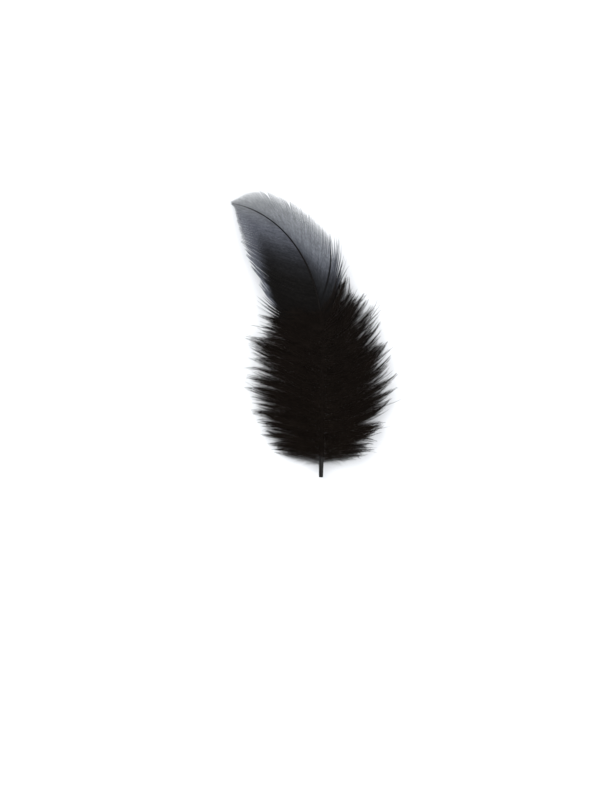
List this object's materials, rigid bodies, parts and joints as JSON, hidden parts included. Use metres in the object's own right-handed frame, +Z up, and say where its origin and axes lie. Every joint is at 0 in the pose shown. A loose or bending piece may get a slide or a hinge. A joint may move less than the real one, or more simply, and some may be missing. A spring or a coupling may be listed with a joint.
{
  "type": "rooster feather",
  "caption": "Small curved rooster body feather with a bare quill end, soft black down and a thin grey vane around its tip, lying flat.",
  "frame": {"origin": "centre of the feather's footprint, on the surface that it lies on", "axes": "+Y along the feather from the quill end towards the tip, +X to the right of it seen from above, +Z up"},
  "size_m": [0.0475, 0.082, 0.0107],
  "materials": {
    "feather": "matte black down",
    "vane": "thin grey-black barbs with a faint sheen",
    "quill": "smooth dark horn"
  },
  "bodies": {
    "root": {"feather": "feather"}
  },
  "joints": []
}
